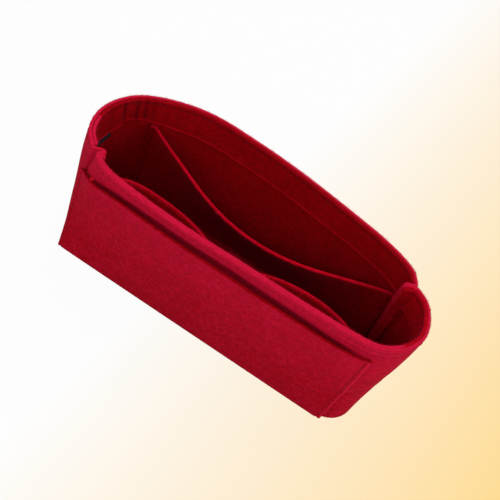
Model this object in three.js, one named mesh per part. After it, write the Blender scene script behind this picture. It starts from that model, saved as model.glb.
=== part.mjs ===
import * as THREE from 'three';

// Felt organizer insert for a purse: an open tub sewn from flat felt, in millimetres, +Z up.
// The front wall panel turns a round corner and becomes the right end. The back wall panel turns
// the opposite corner and becomes the left end. They meet in two upright seams, at the front left
// and at the back right, with their seam allowances standing inward as tabs.

// Driving dimensions
const height = 90;
const feltThickness = 1.8;
const layerGap = 0.3;
const seamAllowance = 7.2;

// Base outline: two seamed corners on a diagonal, two round corners on the other
const baseSeamSpacing = 197.2;
const baseDepth = 66.2;
const baseCornerRadius = 18;
const baseCornerInset = 13;
const baseEndFullness = 7;
const baseEndReach = 16;

// Rim outline, which bows out between the seams
const rimLength = 217.4;
const rimDepth = 85;

// The walls spread from base to rim along a curve that is upright at the rim
const spreadExponent = 2;

// Facing strip inside the rim
const facingDepth = 20.5;

// Outer slip pocket on the front
const outerPocketDrop = 10;
const outerPocketSag = 3.2;
const outerPocketSeamInset = 1.5;
const outerPocketEndInset = 8.6;

// Inner pockets
const innerPocketBelowFacing = 1.5;
const innerPocketSeamInset = 8;
const innerPocketEndInset = 10.6;
const backPocketFullness = 42;
const frontPocketFullness = 23.4;
const pocketStitchMargin = 3;

// Woven label on the left end
const labelLength = 16;
const labelDrop = 7.5;
const labelLean = 2.2;
const labelThickness = 0.7;
const labelFromSeam = 27;

// Shares of half the rim's length and half its depth, from seam to seam
const frontLeftRimShare = [-0.891, -0.712];
const backRightRimShare = [0.848, 0.367];
const frontRimShares = [
  frontLeftRimShare,
  [-0.786, -0.888],
  [-0.58, -0.972],
  [-0.19, -1],
  [0.287, -0.972],
  [0.669, -0.932],
  [0.823, -0.865],
  [0.932, -0.645],
  [0.992, -0.315],
  [0.975, 0.02],
  [0.923, 0.242],
  backRightRimShare,
];
const backRimShares = [
  backRightRimShare,
  [0.792, 0.572],
  [0.71, 0.682],
  [0.557, 0.786],
  [0.193, 0.913],
  [-0.24, 1],
  [-0.56, 0.906],
  [-0.762, 0.702],
  [-0.902, 0.47],
  [-0.983, 0.2],
  [-1.008, -0.12],
  [-0.973, -0.48],
  frontLeftRimShare,
];

// Top edge of the outer pocket: shares of its width, and shares of the drop below the rim
const outerPocketDropShares = [
  [0, 1.59],
  [0.04, 1.41],
  [0.08, 1.18],
  [0.125, 0.95],
  [0.2, 0.77],
  [0.3, 0.69],
  [0.41, 0.7],
  [0.52, 0.74],
  [0.63, 0.81],
  [0.745, 0.89],
  [0.83, 0.98],
  [0.91, 1.06],
  [1, 1.08],
];

// Compartments of the front inner pocket: shares of its width, and how square each flank is
const frontCompartmentShares = [
  { from: 0.02, peak: 0.205, to: 0.4625, fromPower: 2.5, toPower: 2 },
  { from: 0.5, peak: 0.769, to: 0.976, fromPower: 2, toPower: 2 },
];

// The way the allowances point: shares of the corner between the two walls, at the base and at the rim
const frontLeftTabShares = { base: 0.41592, rim: 0.35731 };
const backRightTabShares = { base: 0.41592, rim: 0.38968 };

// How finely the felt is divided
const seamRoomSteps = 1;
const frontSteps = 30;
const bendSteps = 12;
const endSteps = 12;
const wallRowsBelowFacing = 12;
const facingRows = 4;
const pocketRows = 10;
const backPocketSteps = 36;
const compartmentSteps = 16;
const outerPocketCurveShare = 0.2;
const outerPocketCurveSteps = 14;
const outerPocketSteps = 20;
const outerPocketBendShare = 0.96;
const outerPocketBendSteps = 5;
const labelSteps = 4;
const bulgeExponent = 1.2;
const backPocketSkew = 0.92;
const backPocketRoundness = 0.94;
const sagExponent = 1.6;

const facingBottom = height - facingDepth;
const innerPocketTop = facingBottom - innerPocketBelowFacing;
const lipHeight = seamAllowance;
const bulgeStart = lipHeight + layerGap;
const wallOuterOffset = layerGap / 2;
const wallInnerOffset = wallOuterOffset + feltThickness;
const liningOuterOffset = wallInnerOffset + layerGap;
const liningInnerOffset = liningOuterOffset + feltThickness;

// Materials
const crimsonFelt = (color) =>
  new THREE.MeshStandardMaterial({ color, roughness: 0.95, metalness: 0 });
const outerFelt = crimsonFelt('#a8122e');
const liningFelt = crimsonFelt('#a00f29');
const wovenBlack = new THREE.MeshStandardMaterial({ color: '#17171a', roughness: 0.8, metalness: 0 });

const evenShares = (from, to, steps) =>
  Array.from({ length: steps + 1 }, (unused, i) => THREE.MathUtils.lerp(from, to, i / steps));

const leftNormal = (from, to) => {
  const along = to.clone().sub(from).normalize();
  return new THREE.Vector2(-along.y, along.x);
};

// Moves each vertex of a path to its left by its distance, with mitred corners.
const offsetPath = (points, distances, closed = false) => {
  const count = points.length;
  const distanceAt = (i) => (Array.isArray(distances) ? distances[i] : distances);
  return points.map((point, i) => {
    const before = closed ? points[(i + count - 1) % count] : points[Math.max(i - 1, 0)];
    const after = closed ? points[(i + 1) % count] : points[Math.min(i + 1, count - 1)];
    const first = before === point ? leftNormal(point, after) : leftNormal(before, point);
    const second = after === point ? first : leftNormal(point, after);
    const reach = distanceAt(i) / (1 + first.dot(second));
    return point.clone().addScaledVector(first.clone().add(second), reach);
  });
};

// Closes a stack of rings, each with the same number of points, into one solid.
const loftRings = (rings) => {
  const positions = [];
  const indices = [];
  const count = rings[0].length;
  rings.forEach((ring) => ring.forEach((point) => positions.push(point.x, point.y, point.z)));
  for (let row = 0; row + 1 < rings.length; row += 1) {
    for (let i = 0; i < count; i += 1) {
      const next = (i + 1) % count;
      const low = row * count;
      const high = low + count;
      indices.push(low + i, low + next, high + next, low + i, high + next, high + i);
    }
  }
  const capFaces = (ring) =>
    THREE.ShapeUtils.triangulateShape(ring.map((point) => new THREE.Vector2(point.x, point.y)), []);
  capFaces(rings[0]).forEach(([a, b, c]) => indices.push(a, c, b));
  const top = (rings.length - 1) * count;
  capFaces(rings[rings.length - 1]).forEach(([a, b, c]) => indices.push(top + a, top + b, top + c));
  const geometry = new THREE.BufferGeometry();
  geometry.setAttribute('position', new THREE.Float32BufferAttribute(positions, 3));
  geometry.setIndex(indices);
  geometry.computeVertexNormals();
  return geometry;
};

const liftRing = (points, z) => points.map((point) => new THREE.Vector3(point.x, point.y, z));

// A layer of felt standing on a path: right face on one path, left face on the other.
const layerRing = (rightFace, leftFace, z) =>
  liftRing([...rightFace, ...leftFace.slice().reverse()], z);

const rimPoint = ([lengthShare, depthShare]) =>
  new THREE.Vector2((lengthShare * rimLength) / 2, (depthShare * rimDepth) / 2);

const frontLeftBase = new THREE.Vector2(-baseSeamSpacing / 2, -baseDepth / 2);
const backRightBase = frontLeftBase.clone().negate();

// Base path of the front panel: straight front, round corner, full right end up to the back seam
const cornerCentre = new THREE.Vector2(
  baseSeamSpacing / 2 - baseCornerInset,
  baseCornerRadius - baseDepth / 2,
);
const makeBasePath = () => {
  const endPull = new THREE.Vector2(backRightBase.x + baseEndFullness, backRightBase.y - baseEndReach);
  const toPull = endPull.clone().sub(cornerCentre);
  const arcEnd = toPull.angle() - Math.acos(baseCornerRadius / toPull.length());
  const arcStart = new THREE.Vector2(cornerCentre.x, -baseDepth / 2);
  const arc = new THREE.EllipseCurve(
    cornerCentre.x,
    cornerCentre.y,
    baseCornerRadius,
    baseCornerRadius,
    -Math.PI / 2,
    arcEnd,
    false,
    0,
  );
  const path = new THREE.CurvePath();
  path.add(new THREE.LineCurve(frontLeftBase, arcStart));
  path.add(arc);
  path.add(new THREE.QuadraticBezierCurve(arc.getPoint(1), endPull, backRightBase));
  return path;
};

const basePath = makeBasePath();
const basePathLengths = basePath.getCurveLengths();
const basePathLength = basePathLengths[2];
const bendStartShare = basePathLengths[0] / basePathLength;
const bendEndShare = basePathLengths[1] / basePathLength;
const bendMiddleShare = (bendStartShare + bendEndShare) / 2;
const seamRoomShare = (seamAllowance + feltThickness) / basePathLength;
const stationShares = [
  ...evenShares(0, seamRoomShare, seamRoomSteps),
  ...evenShares(seamRoomShare, bendStartShare, frontSteps).slice(1),
  ...evenShares(bendStartShare, bendEndShare, bendSteps).slice(1),
  ...evenShares(bendEndShare, 1 - seamRoomShare, endSteps).slice(1),
  ...evenShares(1 - seamRoomShare, 1, seamRoomSteps).slice(1),
];
const betweenSeams = (stations) => stations.slice(seamRoomSteps, -seamRoomSteps);

const makeRimStations = (shares) => {
  const knots = shares.map(rimPoint).map((point) => new THREE.Vector3(point.x, point.y, 0));
  const curve = new THREE.CatmullRomCurve3(knots, false, 'centripetal');
  const points = stationShares.map((share) => curve.getPointAt(share));
  return points.map((point) => new THREE.Vector2(point.x, point.y));
};

const frontStations = {
  base: stationShares.map((share) => basePath.getPoint(share)),
  rim: makeRimStations(frontRimShares),
};
const backStations = {
  base: frontStations.base.map((point) => point.clone().negate()),
  rim: makeRimStations(backRimShares),
};

// Seams: the allowances leave the corner between the wall that starts there and the wall that ends there.
const seamEnd = (startingWall, endingWall, tabShare) => {
  const [corner, startWay] = startingWall;
  const endWay = endingWall[endingWall.length - 2];
  const startAngle = startWay.clone().sub(corner).angle();
  const endAngle = endWay.clone().sub(corner).angle();
  const opening = THREE.MathUtils.euclideanModulo(endAngle - startAngle, 2 * Math.PI);
  const tab = new THREE.Vector2(seamAllowance, 0).rotateAround(
    new THREE.Vector2(),
    startAngle + opening * tabShare,
  );
  return { corner, tip: corner.clone().add(tab) };
};

const makeSeam = (startingWall, endingWall, tabShares) => ({
  base: seamEnd(startingWall.base, endingWall.base, tabShares.base),
  rim: seamEnd(startingWall.rim, endingWall.rim, tabShares.rim),
});

const frontLeftSeam = makeSeam(frontStations, backStations, frontLeftTabShares);
const backRightSeam = makeSeam(backStations, frontStations, backRightTabShares);
const frontPanel = { start: frontLeftSeam, end: backRightSeam, ...frontStations };
const backPanel = { start: backRightSeam, end: frontLeftSeam, ...backStations };

// Walls
const spreadAt = (z) => 1 - (1 - z / height) ** spreadExponent;

const wallPath = (panel, z) =>
  panel.base.map((point, i) => point.clone().lerp(panel.rim[i], spreadAt(z)));

const seamTip = (seam, z) => seam.base.tip.clone().lerp(seam.rim.tip, spreadAt(z));

const panelPath = (panel, z) => [
  seamTip(panel.start, z),
  ...wallPath(panel, z),
  seamTip(panel.end, z),
];

const wallLevels = [
  ...evenShares(0, facingBottom, wallRowsBelowFacing),
  ...evenShares(facingBottom, height, facingRows).slice(1),
];

const makeWall = (panel) =>
  loftRings(
    wallLevels.map((z) => {
      const path = panelPath(panel, z);
      return layerRing(offsetPath(path, wallOuterOffset), offsetPath(path, wallInnerOffset), z);
    }),
  );

// Facings stop short of the tabs
const makeFacing = (panel) =>
  loftRings(
    evenShares(facingBottom, height, facingRows).map((z) => {
      const path = wallPath(panel, z);
      const outer = betweenSeams(offsetPath(path, liningOuterOffset));
      const inner = betweenSeams(offsetPath(path, liningInnerOffset));
      return layerRing(outer, inner, z);
    }),
  );

// Pockets lie on a wall and bulge from it along Y
const depthOnPath = (points, x) => {
  const i = points.findIndex((point, k) => k > 0 && (points[k - 1].x - x) * (point.x - x) <= 0);
  const from = points[i - 1];
  const to = points[i];
  return THREE.MathUtils.mapLinear(x, from.x, to.x, from.y, to.y);
};

const riseShare = (z, from, to) => THREE.MathUtils.clamp((z - from) / (to - from), 0, 1);

const placeOnWall = ({ panel, share, endsAt, offset, bulge, z }) => {
  const { left, right } = endsAt(z);
  const x = THREE.MathUtils.lerp(left, right, share);
  return new THREE.Vector3(x, depthOnPath(offsetPath(wallPath(panel, z), offset), x) + bulge, z);
};

const pocketRing = (near, thicknessSign) => {
  const flat = near.map((point) => new THREE.Vector2(point.x, point.y));
  const offset = offsetPath(flat, thicknessSign * feltThickness);
  const far = offset.map((point, i) => new THREE.Vector3(point.x, point.y, near[i].z));
  const [first, second] = thicknessSign > 0 ? [near, far] : [far, near];
  return [...first, ...second.slice().reverse()];
};

const makePocket = ({ panel, shares, endsAt, offset, thicknessSign, bulgeAt, topAt, rightToLeft }) => {
  const ordered = rightToLeft ? shares.slice().reverse() : shares;
  const rings = evenShares(0, 1, pocketRows).map((rise) => {
    const near = ordered.map((share) => {
      const z = THREE.MathUtils.lerp(bulgeStart, topAt(share), rise);
      return placeOnWall({ panel, share, endsAt, offset, bulge: bulgeAt(share, rise), z });
    });
    return pocketRing(near, thicknessSign);
  });
  const foot = ordered.map((share) =>
    placeOnWall({ panel, share, endsAt, offset, bulge: 0, z: 0 }),
  );
  return loftRings([pocketRing(foot, thicknessSign), ...rings]);
};

const seamX = (seam, z) => THREE.MathUtils.lerp(seam.base.corner.x, seam.rim.corner.x, spreadAt(z));

const backPocketEndsAt = (z) => ({
  left: frontLeftBase.x + innerPocketEndInset,
  right: seamX(backRightSeam, z) - innerPocketSeamInset,
});
const frontPocketEndsAt = (z) => ({
  left: seamX(frontLeftSeam, z) + innerPocketSeamInset,
  right: backRightBase.x - innerPocketEndInset,
});

const stitchMarginShare = ({ left, right }) => pocketStitchMargin / (right - left);

const backPocketMargin = stitchMarginShare(backPocketEndsAt(0));
const backPocketBulge = (share, rise) => {
  const across = riseShare(share, backPocketMargin, 1 - backPocketMargin) ** backPocketSkew;
  const fullness = Math.abs(Math.sin(Math.PI * across)) ** backPocketRoundness;
  return -backPocketFullness * fullness * rise ** bulgeExponent;
};

const makeBackPocket = () =>
  makePocket({
    panel: backPanel,
    shares: evenShares(0, 1, backPocketSteps),
    endsAt: backPocketEndsAt,
    offset: liningOuterOffset,
    thicknessSign: 1,
    bulgeAt: backPocketBulge,
    topAt: () => innerPocketTop,
    rightToLeft: true,
  });

// The front inner pocket is stitched down along a divider, with a rounded compartment on each side
const flankShares = (peak, end) =>
  evenShares(0, Math.PI / 2, compartmentSteps / 2).map((angle) =>
    THREE.MathUtils.lerp(peak, end, Math.sin(angle)),
  );

const compartmentShares = ({ from, peak, to }) => [
  ...flankShares(peak, from).reverse(),
  ...flankShares(peak, to).slice(1),
];

const frontPocketBulge = (share, rise) => {
  const home = frontCompartmentShares.find(({ from, to }) => share > from && share < to);
  if (!home) {
    return 0;
  }
  const [end, power] = share < home.peak ? [home.from, home.fromPower] : [home.to, home.toPower];
  const across = riseShare(share, home.peak, end);
  return frontPocketFullness * (1 - across ** power) ** (1 / power) * rise ** bulgeExponent;
};

const makeFrontPocket = () =>
  makePocket({
    panel: frontPanel,
    shares: [0, ...frontCompartmentShares.flatMap(compartmentShares), 1],
    endsAt: frontPocketEndsAt,
    offset: liningOuterOffset,
    thicknessSign: 1,
    bulgeAt: frontPocketBulge,
    topAt: () => innerPocketTop,
    rightToLeft: false,
  });

// Outer slip pocket, sagging open along its top edge
const outerPocketEndsAt = (z) => ({
  left: seamX(frontLeftSeam, z) + outerPocketSeamInset,
  right: backRightBase.x - outerPocketEndInset,
});

const outerPocketMargin = stitchMarginShare(outerPocketEndsAt(0));
const outerPocketBulge = (share, rise) => {
  const across = riseShare(share, outerPocketMargin, 1 - outerPocketMargin);
  return -outerPocketSag * Math.sqrt(Math.sin(Math.PI * across)) * rise ** sagExponent;
};

const outerPocketTopAt = (share) => {
  const i = outerPocketDropShares.findIndex(([at], k) => k > 0 && at >= share);
  const [from, fromDrop] = outerPocketDropShares[i - 1];
  const [to, toDrop] = outerPocketDropShares[i];
  return height - outerPocketDrop * THREE.MathUtils.mapLinear(share, from, to, fromDrop, toDrop);
};

const makeOuterPocket = () =>
  makePocket({
    panel: frontPanel,
    shares: [
      ...evenShares(0, outerPocketCurveShare, outerPocketCurveSteps),
      ...evenShares(outerPocketCurveShare, outerPocketBendShare, outerPocketSteps).slice(1),
      ...evenShares(outerPocketBendShare, 1, outerPocketBendSteps).slice(1),
    ],
    endsAt: outerPocketEndsAt,
    offset: wallOuterOffset - layerGap,
    thicknessSign: -1,
    bulgeAt: outerPocketBulge,
    topAt: outerPocketTopAt,
    rightToLeft: false,
  });

// Base: a flat panel whose allowance turns up inside the walls and the inner pockets
const makeBase = () => {
  const pocketRoom = feltThickness + layerGap;
  const offsets = betweenSeams(stationShares).map(
    (share) =>
      liningOuterOffset + pocketRoom * (1 - riseShare(share, bendMiddleShare, bendEndShare)),
  );
  const outlineAt = (z, extra) => {
    const outline = [frontPanel, backPanel].flatMap((panel) => betweenSeams(wallPath(panel, z)));
    const distances = [...offsets, ...offsets].map((offset) => offset + extra);
    return liftRing(offsetPath(outline, distances, true), z);
  };
  return loftRings([
    outlineAt(0, 0),
    outlineAt(lipHeight, 0),
    outlineAt(lipHeight, feltThickness),
    outlineAt(feltThickness, feltThickness),
  ]);
};

// Woven label hanging from the facing's lower edge on the left end
const pointAlong = (points, distance) => {
  let left = distance;
  const i = points.findIndex((point, k) => {
    const span = k + 1 < points.length ? point.distanceTo(points[k + 1]) : Infinity;
    if (left <= span) {
      return true;
    }
    left -= span;
    return false;
  });
  return points[i].clone().lerp(points[i + 1], left / points[i].distanceTo(points[i + 1]));
};

const makeLabel = () => {
  const labelTop = facingBottom - layerGap;
  const distances = evenShares(labelFromSeam + labelLength, labelFromSeam, labelSteps);
  const ringAt = (z, lean) => {
    const fromSeam = wallPath(backPanel, z).reverse();
    const carrier = distances.map((distance) => pointAlong(fromSeam, distance));
    const outer = offsetPath(carrier, liningOuterOffset + lean);
    const inner = offsetPath(carrier, liningOuterOffset + lean + labelThickness);
    return layerRing(outer, inner, z);
  };
  return loftRings([ringAt(labelTop - labelDrop, labelLean), ringAt(labelTop, 0)]);
};

const addPiece = (group, name, geometry, material) => {
  const mesh = new THREE.Mesh(geometry, material);
  mesh.name = name;
  group.add(mesh);
};

const organizer = new THREE.Group();
addPiece(organizer, 'base_panel', makeBase(), outerFelt);
addPiece(organizer, 'front_wall', makeWall(frontPanel), outerFelt);
addPiece(organizer, 'back_wall', makeWall(backPanel), outerFelt);
addPiece(organizer, 'front_rim_facing', makeFacing(frontPanel), liningFelt);
addPiece(organizer, 'back_rim_facing', makeFacing(backPanel), liningFelt);
addPiece(organizer, 'outer_pocket', makeOuterPocket(), outerFelt);
addPiece(organizer, 'back_inner_pocket', makeBackPocket(), liningFelt);
addPiece(organizer, 'front_inner_pocket', makeFrontPocket(), liningFelt);
addPiece(organizer, 'label_tab', makeLabel(), wovenBlack);

// The origin is the middle of the footprint, on the surface that the tub stands on
const bounds = new THREE.Box3().setFromObject(organizer);
const middle = bounds.getCenter(new THREE.Vector3());
organizer.position.set(-middle.x, -middle.y, -bounds.min.z);

export default organizer;
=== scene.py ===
import math

import bpy
import numpy as np
from mathutils import Matrix, Vector, noise


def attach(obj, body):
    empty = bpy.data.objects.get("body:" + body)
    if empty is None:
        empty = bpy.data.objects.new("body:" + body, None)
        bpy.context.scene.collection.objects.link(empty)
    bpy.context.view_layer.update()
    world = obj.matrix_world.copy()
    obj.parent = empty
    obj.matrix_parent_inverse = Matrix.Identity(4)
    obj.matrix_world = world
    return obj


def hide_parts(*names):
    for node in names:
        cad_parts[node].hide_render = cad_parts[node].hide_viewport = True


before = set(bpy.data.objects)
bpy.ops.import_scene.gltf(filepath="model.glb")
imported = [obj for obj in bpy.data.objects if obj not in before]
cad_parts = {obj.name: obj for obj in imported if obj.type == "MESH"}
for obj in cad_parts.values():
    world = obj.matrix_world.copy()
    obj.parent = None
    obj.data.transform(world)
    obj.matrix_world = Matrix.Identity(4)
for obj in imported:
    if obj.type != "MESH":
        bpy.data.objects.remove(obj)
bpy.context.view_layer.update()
mm = 0.001

# The tub's own sizes, in millimetres, as its solids have them
tub = {
    "height": 90.0, "felt": 1.8, "layerGap": 0.3, "allowance": 7.2,
    "baseLength": 197.2, "baseDepth": 66.2, "cornerRadius": 18.0, "cornerInset": 13.0,
    "endFullness": 7.0, "endReach": 16.0, "rimLength": 217.4, "rimDepth": 85.0,
    "facingBottom": 69.5,
    "frontLeftTab": (45.0, 25.0),  # the allowance's direction at the base and rim, in degrees
    "backRightTab": (225.0, 203.0),
    "origin": (0.7605, 2.5949, 0.0),  # from the middle of the outlines to the model's origin
    "foldRadius": 1.0,  # of the middle of the felt where an allowance turns in
    "foldAway": 4.0,  # how far from the corner the wall's direction there is read
    "rimFold": 2.0,  # how much rounder that fold is at the rim
    "rimTab": 1.5,  # how much further the allowances reach at the rim
    "cutEdge": 0.85,  # how far a cut edge is rounded
    "jointEdge": 0.06,  # and where two layers lie edge to edge
    "jointPress": 0.145,  # how far each of those stands out towards the other
    "plainRun": 6.0,  # the stretch beside a plain end that has closer columns
    "samples": 1201, "wallSteps": 250, "tabSteps": 7, "foldSteps": 9, "cornerSteps": 80,
}
frontRim = [
    (-0.891, -0.712), (-0.786, -0.888), (-0.58, -0.972), (-0.19, -1), (0.287, -0.972),
    (0.669, -0.932), (0.823, -0.865), (0.932, -0.645), (0.992, -0.315), (0.975, 0.02),
    (0.923, 0.242), (0.848, 0.367),
]
backRim = [
    (0.848, 0.367), (0.792, 0.572), (0.71, 0.682), (0.557, 0.786), (0.193, 0.913), (-0.24, 1),
    (-0.567, 0.95), (-0.765, 0.765), (-0.905, 0.51), (-0.983, 0.2), (-1.008, -0.12),
    (-0.973, -0.48), (-0.891, -0.712),
]
tall, thick, gap, origin = tub["height"], tub["felt"], tub["layerGap"], np.array(tub["origin"])
onWall = gap * 1.5 + thick  # from the drawn outline to what lies on the wall
halfBase = tub["baseLength"] / 2


def fade(value, start, end):
    t = np.clip((value - start) / (end - start), 0, 1)
    return t * t * (3 - 2 * t)


def bump(value, place, wide):
    return np.exp(-(((value - place) / wide) ** 2))


# Lines and outlines
def runOf(points):
    steps = np.linalg.norm(np.diff(points, axis=0), axis=1)
    return np.concatenate(([0], np.cumsum(steps)))


def readLine(at, run, points):
    return np.stack([np.interp(at, run, points[:, k]) for k in range(points.shape[1])], -1)


def alongLine(points, shares):
    run = runOf(points)
    return readLine(np.asarray(shares) * run[-1], run, points)


def lineLength(points):
    return float(runOf(points)[-1])


def leftNormals(points):
    along = np.gradient(points, axis=0)
    along /= np.linalg.norm(along, axis=1)[:, None]
    return np.column_stack((-along[:, 1], along[:, 0]))


def offsetLine(points, distance):
    return points + leftNormals(points) * distance


def smoothCurve(knots, steps=48):
    knots = np.asarray(knots, float)
    ends = [2 * knots[0] - knots[1], *knots, 2 * knots[-1] - knots[-2]]
    found = []
    for p0, p1, p2, p3 in zip(ends, ends[1:], ends[2:], ends[3:]):
        d0, d1, d2 = (math.sqrt(np.linalg.norm(b - a)) for a, b in ((p0, p1), (p1, p2), (p2, p3)))
        t1 = ((p1 - p0) / d0 - (p2 - p0) / (d0 + d1) + (p2 - p1) / d1) * d1
        t2 = ((p2 - p1) / d1 - (p3 - p1) / (d1 + d2) + (p3 - p2) / d2) * d1
        t = np.linspace(0, 1, steps, endpoint=False)[:, None]
        found.append(
            (2 * t**3 - 3 * t**2 + 1) * p1 + (t**3 - 2 * t**2 + t) * t1
            + (3 * t**2 - 2 * t**3) * p2 + (t**3 - t**2) * t2
        )
    return np.vstack(found + [knots[-1:]])


def makeBaseLine():
    radius = tub["cornerRadius"]
    seam = np.array([halfBase, tub["baseDepth"] / 2])
    centre = np.array([seam[0] - tub["cornerInset"], radius - seam[1]])
    pull = seam + (tub["endFullness"], -tub["endReach"])
    toPull = pull - centre
    end = math.atan2(toPull[1], toPull[0]) - math.acos(radius / np.linalg.norm(toPull))
    turn = np.linspace(-math.pi / 2, end, tub["cornerSteps"])
    arc = centre + radius * np.column_stack((np.cos(turn), np.sin(turn)))
    t = np.linspace(0, 1, tub["cornerSteps"])[1:, None]
    bezier = (1 - t) ** 2 * arc[-1] + 2 * t * (1 - t) * pull + t**2 * seam
    return np.vstack(([-seam], arc, bezier))


def unit(angle):
    return np.array([math.cos(math.radians(angle)), math.sin(math.radians(angle))])


def unitOf(vector):
    return vector / np.linalg.norm(vector)


baseLine = makeBaseLine()
fineShares = np.linspace(0, 1, tub["samples"])
rimHalf = np.array([tub["rimLength"], tub["rimDepth"]]) / 2
panels = {
    "front": {
        "base": baseLine, "rim": smoothCurve(np.array(frontRim) * rimHalf),
        "start": tub["frontLeftTab"], "end": tub["backRightTab"],
    },
    "back": {
        "base": -baseLine, "rim": smoothCurve(np.array(backRim) * rimHalf),
        "start": tub["backRightTab"], "end": tub["frontLeftTab"],
    },
}


def spreadAt(z):
    return 1 - (1 - z / tall) ** 2


def wallLine(panel, z, shares):
    base = alongLine(panels[panel]["base"], shares)
    rim = alongLine(panels[panel]["rim"], shares)
    return base + (rim - base) * spreadAt(z)


def tabLine(panel, end, z):
    corner = wallLine(panel, z, [0.0 if end == "start" else 1.0])[0]
    base, rim = panels[panel][end]
    step = unit(base) + (unit(rim) - unit(base)) * spreadAt(z)
    return corner, unitOf(step)


# The fold from an allowance into its wall, and how far along the wall it ends
def foldIn(corner, tab, wall, middle, radius):
    opening = math.acos(np.clip(tab @ wall, -1, 1))
    reach = (radius + middle) / math.tan(opening / 2)
    centre = corner + unitOf(tab + wall) * (radius + middle) / math.sin(opening / 2)
    fromTab = unitOf(corner + tab * reach - centre)
    fromWall = unitOf(corner + wall * reach - centre)
    sweep = math.acos(np.clip(fromTab @ fromWall, -1, 1))
    share = np.linspace(0, 1, tub["foldSteps"])[:, None]
    between = np.sin((1 - share) * sweep) * fromTab + np.sin(share * sweep) * fromWall
    return centre + radius * between / math.sin(sweep), reach


# Places beside an edge, closer together where it is rounded
def nearEdge(edge):
    return edge * (1 - np.cos(np.linspace(0, math.pi / 2, 5)[:-1]))


def edgeSteps(start, end, count, edge):
    near = nearEdge(edge)
    plain = np.linspace(start + edge, end - edge, count)
    return np.concatenate((start + near, plain, (end - near)[::-1]))


def tabShares(length):
    edge = min(tub["cutEdge"], length / 2)
    plain = np.linspace(edge, length, tub["tabSteps"], endpoint=False)
    return np.concatenate((nearEdge(edge), plain)) / length


def runAlong(grid, axis):
    steps = np.linalg.norm(np.diff(grid, axis=axis), axis=2)
    return np.concatenate((np.zeros_like(np.take(steps, [0], axis)), np.cumsum(steps, axis)), axis)


# The middle of a layer at one height, and how many of its points belong to each end, which
# wraps round the allowance or stops that far from the corner
def layerLine(panel, z, middle, wraps, wallSteps):
    dense = wallLine(panel, z, fineShares)
    length = lineLength(dense)
    inner = offsetLine(dense, middle)
    ends, pieces = [], []
    for wrap, end in zip(wraps, ("start", "end")):
        if wrap is not True:
            room, plain = wrap / length, tub["plainRun"]
            near = edgeSteps(0, plain, 6, tub["cutEdge"])[:-5] / length
            places = room + near if end == "start" else 1 - room - near
            pieces.append(readLine(places, fineShares, inner))
            ends.append(room + plain / length)
            continue
        corner, tab = tabLine(panel, end, z)
        away = tub["foldAway"] / length
        close = wallLine(panel, z, [away if end == "start" else 1 - away])[0]
        radius = tub["foldRadius"]
        if panel == "front" and middle < thick:
            radius += tub["rimFold"] * fade(z, 74, 86)
        arc, reach = foldIn(corner, tab, unitOf(close - corner), middle, radius)
        allowance = tub["allowance"] + tub["rimTab"] * fade(z, 40, 84)
        tip = arc[0] + tab * max(allowance - reach, 1.0)
        straight = tip + (arc[0] - tip) * tabShares(np.linalg.norm(arc[0] - tip))[:, None]
        pieces.append(np.vstack((straight, arc[:-1])))
        ends.append(reach / length)
    wallPart = readLine(np.linspace(ends[0], 1 - ends[1], wallSteps), fineShares, inner)
    return np.vstack((pieces[0], wallPart, pieces[1][::-1])), len(pieces[0]), len(pieces[1])


# A layer between two heights that may differ from column to column
def layerGrid(panel, middle, low, high, rowShares, wraps=(True, True), wallSteps=tub["wallSteps"]):
    levels = np.linspace(np.min(low), tall, 48)
    lines = [layerLine(panel, z, middle, wraps, wallSteps) for z in levels]
    stack = np.array([line[0] for line in lines])
    columns = stack.shape[1]
    heights = np.zeros((1, columns)) + low + (high - low) * np.asarray(rowShares)[:, None]
    grid = np.empty((len(rowShares), columns, 3))
    for i in range(columns):
        grid[:, i, :2] = readLine(heights[:, i], levels, stack[:, i])
    grid[:, :, 2] = heights
    return grid, *lines[-1][1:]


def lift(points, z):
    return np.column_stack((points, np.broadcast_to(z, len(points))))


# Making pieces
def only(*pieces):
    bpy.ops.object.select_all(action="DESELECT")
    for piece in pieces:
        piece.select_set(True)
    bpy.context.view_layer.objects.active = pieces[0]


def addObject(name, data):
    piece = bpy.data.objects.new(name, data)
    bpy.context.scene.collection.objects.link(piece)
    return piece


def editAll():
    bpy.ops.object.mode_set(mode="EDIT")
    bpy.ops.mesh.select_all(action="SELECT")


def editTurned():
    editAll()
    bpy.ops.transform.rotate(value=math.pi / 2, orient_axis="Y", center_override=(0, 0, 0))


def shapedMesh(name, points, faces):
    mesh = bpy.data.meshes.new(name)
    mesh.from_pydata(((points + origin) * mm).tolist(), [], faces)
    piece = addObject(name, mesh)
    only(piece)
    editAll()
    bpy.ops.mesh.normals_make_consistent(inside=False)
    bpy.ops.object.mode_set(mode="OBJECT")
    return piece


# Slow waves that all the layers share, so that they keep clear of each other
waves = {
    "length": 34, "depth": 0.5, "upright": 0.25, "fullFrom": 40,
    "shifts": ((3.1, 8.2, 1.7), (12.4, 0.6, 5.3), (7.9, 4.4, 10.8)),
}


def sway(points):
    rise = np.clip(points[:, 2] / waves["fullFrom"], 0, 1)
    shifts = [Vector(shift) for shift in waves["shifts"]]
    moved = [[noise.noise(Vector(p) / waves["length"] + shift) for shift in shifts] for p in points]
    return np.array(moved) * (waves["depth"] * rise)[:, None] * (1, 1, waves["upright"])


# What counts as fully pressed in for the painted shade, where a painted highlight pales the end of
# each row, and the felt's unevenness
shell = {"fullPress": 0.8, "highlightEnd": (-1.9, -0.3), "grainSize": 2.1, "seedSteps": (7.3, 3.1, 0)}


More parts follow.
